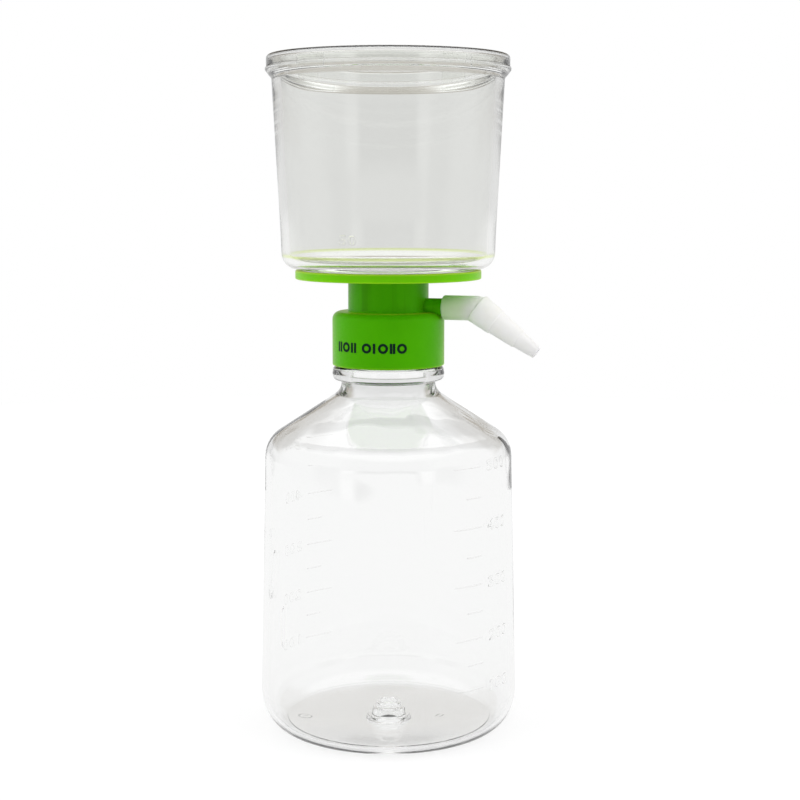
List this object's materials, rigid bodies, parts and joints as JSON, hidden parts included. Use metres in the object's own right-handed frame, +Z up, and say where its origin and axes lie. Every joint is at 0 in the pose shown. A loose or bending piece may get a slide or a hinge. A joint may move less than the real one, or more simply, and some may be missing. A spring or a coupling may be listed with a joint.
{
  "type": "vacuum filtration unit",
  "caption": "Bottle-top vacuum filter: clear funnel with lid on a green collar with a side arm and hose elbow, screwed on a clear graduated receiver bottle.",
  "frame": {"origin": "middle of the bottle's base, on the bottle's axis, at the height it stands on", "axes": "+Z up along the bottle's axis to the lid, +X along the side arm, outwards"},
  "size_m": [0.0983, 0.0892, 0.2315],
  "materials": {
    "clear_plastic": "clear polystyrene, glossy",
    "green_plastic": "lime green moulded plastic, satin gloss",
    "membrane": "white microporous membrane, matt",
    "white_elastomer": "soft milky white, translucent",
    "soft_white": "soft white sealing ring, matt",
    "print_ink": "dark printed marks, satin"
  },
  "bodies": {
    "bottle": {"receiver_bottle": "clear_plastic"},
    "seal": {"seal_washer": "soft_white"},
    "upper": {"filter_collar": "green_plastic", "filter_membrane": "membrane", "funnel": "clear_plastic"},
    "lid": {"lid": "clear_plastic"},
    "adapter": {"hose_adapter": "white_elastomer"}
  },
  "joints": [
    {"name": "collar_rise", "type": "slide", "parent": "bottle", "child": "seal", "axis": [0, 0, 1], "range_m": [0, 0.006]},
    {"name": "collar_turn", "type": "hinge", "parent": "seal", "child": "upper", "pos_m": [0, 0, 0.1335], "axis": [0, 0, 1], "range_deg": [0, 540]},
    {"name": "lid_lift", "type": "slide", "parent": "upper", "child": "lid", "axis": [0, 0, 1], "range_m": [0, 0.03]},
    {"name": "adapter_swivel", "type": "hinge", "parent": "upper", "child": "adapter", "pos_m": [0.0317, 0, 0.1463], "axis": [1, 0, 0], "continuous": true}
  ],
  "couplings": [
    {"joint": "collar_rise", "follows": "collar_turn", "m_per_rad": 0.0006366}
  ]
}
